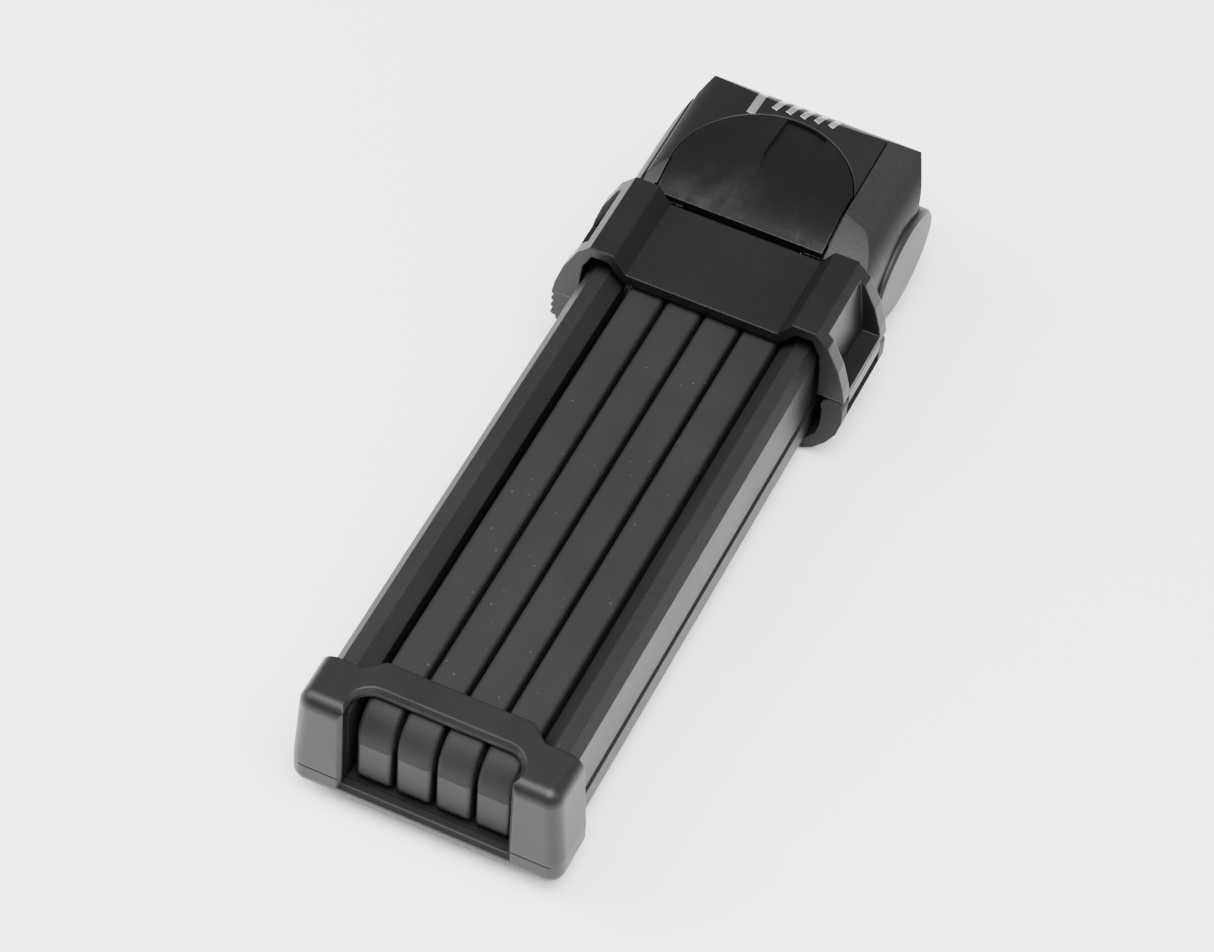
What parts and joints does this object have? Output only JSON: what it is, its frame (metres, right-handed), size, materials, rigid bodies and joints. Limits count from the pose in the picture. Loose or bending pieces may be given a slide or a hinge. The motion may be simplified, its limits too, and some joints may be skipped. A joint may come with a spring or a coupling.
{
  "type": "folding bike lock",
  "caption": "Folding lock of side by side covered steel bars with a rounded lock head, stored in its frame bracket with end cup and strap.",
  "frame": {"origin": "midway between the two bottle-cage bolt holes, on the face that meets the bicycle tube", "axes": "+Y from the end cup towards the lock head, +Z out of the open front, +X to the right"},
  "size_m": [0.0708, 0.2007, 0.0389],
  "materials": {
    "tray_plastic": "satin, fine spark texture",
    "cup_plastic": "satin, smooth",
    "strap_plastic": "satin",
    "strap_rubber": "matte",
    "soft_rubber": "matte",
    "link_rubber": "matte, faint specks",
    "link_plastic": "satin",
    "hardened_steel": "ground",
    "plated_steel": "zinc plated",
    "brass": "machined",
    "washer_nylon": "natural",
    "head_plastic": "satin",
    "textured_plastic": "spark textured",
    "cap_plastic": "satin",
    "gloss_flap": "gloss"
  },
  "bodies": {
    "holder": {"tray": "tray_plastic", "anti_rattle_pads": "soft_rubber", "frame_pads": "soft_rubber", "end_cup": "cup_plastic", "latch_catch": "tray_plastic", "strap_tail": "strap_rubber", "strap_hinge_pin": "plated_steel"},
    "strap": {"strap_bridge": "strap_plastic", "strap_latch": "strap_plastic"},
    "lock_head": {"head_back_cover": "head_plastic", "head_front_cover": "head_plastic", "side_cover_right": "textured_plastic", "side_trim_left": "head_plastic", "side_cap_right": "cap_plastic", "lock_core": "hardened_steel", "cylinder_housing": "brass", "keyhole_bezel": "plated_steel", "head_screws": "plated_steel", "flap_hinge_pin": "plated_steel", "flap_hinge_lugs": "head_plastic", "rivet_head_1": "plated_steel", "washer_head_1": "washer_nylon"},
    "flap": {"key_flap": "gloss_flap"},
    "cylinder": {"cylinder_plug": "brass", "bolt_cam": "hardened_steel", "locking_bolt": "hardened_steel"},
    "link_1": {"link_1_plate": "hardened_steel", "link_1_front_cover": "link_rubber", "link_1_back_cover": "link_plastic", "rivet_1_2": "plated_steel", "washer_1_2": "washer_nylon"},
    "link_2": {"link_2_plate": "hardened_steel", "link_2_front_cover": "link_rubber", "link_2_back_cover": "link_plastic", "rivet_2_3": "plated_steel", "washer_2_3": "washer_nylon"},
    "link_3": {"link_3_plate": "hardened_steel", "link_3_front_cover": "link_rubber", "link_3_back_cover": "link_plastic", "rivet_3_4": "plated_steel", "washer_3_4": "washer_nylon"},
    "link_4": {"link_4_plate": "hardened_steel", "link_4_front_cover": "link_rubber", "link_4_back_cover": "link_plastic"}
  },
  "joints": [
    {"name": "strap_open", "type": "hinge", "parent": "holder", "child": "strap", "pos_m": [0.0326, 0.07035, 0.0176], "axis": [0, 1, 0], "range_deg": [0, 90]},
    {"name": "lock_pull_out", "type": "slide", "parent": "holder", "child": "lock_head", "axis": [0, 1, 0], "range_m": [0, 0.36], "deforming": ["strap_bridge", "strap_latch"]},
    {"name": "link_1_fold", "type": "hinge", "parent": "lock_head", "child": "link_1", "pos_m": [-0.01305, 0.071, 0.0195], "axis": [1, 0, 0], "range_deg": [-81, 0]},
    {"name": "link_2_fold", "type": "hinge", "parent": "link_1", "child": "link_2", "pos_m": [-0.00405, -0.0604, 0.0195], "axis": [1, 0, 0], "range_deg": [0, 161]},
    {"name": "link_3_fold", "type": "hinge", "parent": "link_2", "child": "link_3", "pos_m": [0.00495, 0.071, 0.0195], "axis": [1, 0, 0], "range_deg": [-161, 0]},
    {"name": "link_4_fold", "type": "hinge", "parent": "link_3", "child": "link_4", "pos_m": [0.01395, -0.0604, 0.0195], "axis": [1, 0, 0], "range_deg": [0, 161]},
    {"name": "key_flap_open", "type": "hinge", "parent": "lock_head", "child": "flap", "pos_m": [0, 0.0869, 0.0304], "axis": [1, 0, 0], "range_deg": [0, 75]},
    {"name": "cylinder_turn", "type": "hinge", "parent": "lock_head", "child": "cylinder", "pos_m": [-0.002, 0.1005, 0.026], "axis": [0, 0, 1], "range_deg": [0, 90]}
  ],
  "couplings": [
    {"joint": "link_1_fold", "follows": "lock_pull_out", "rad_per_m": -3.8785},
    {"joint": "link_2_fold", "follows": "lock_pull_out", "rad_per_m": 7.757},
    {"joint": "link_3_fold", "follows": "lock_pull_out", "rad_per_m": -7.757},
    {"joint": "link_4_fold", "follows": "lock_pull_out", "rad_per_m": 7.757}
  ]
}
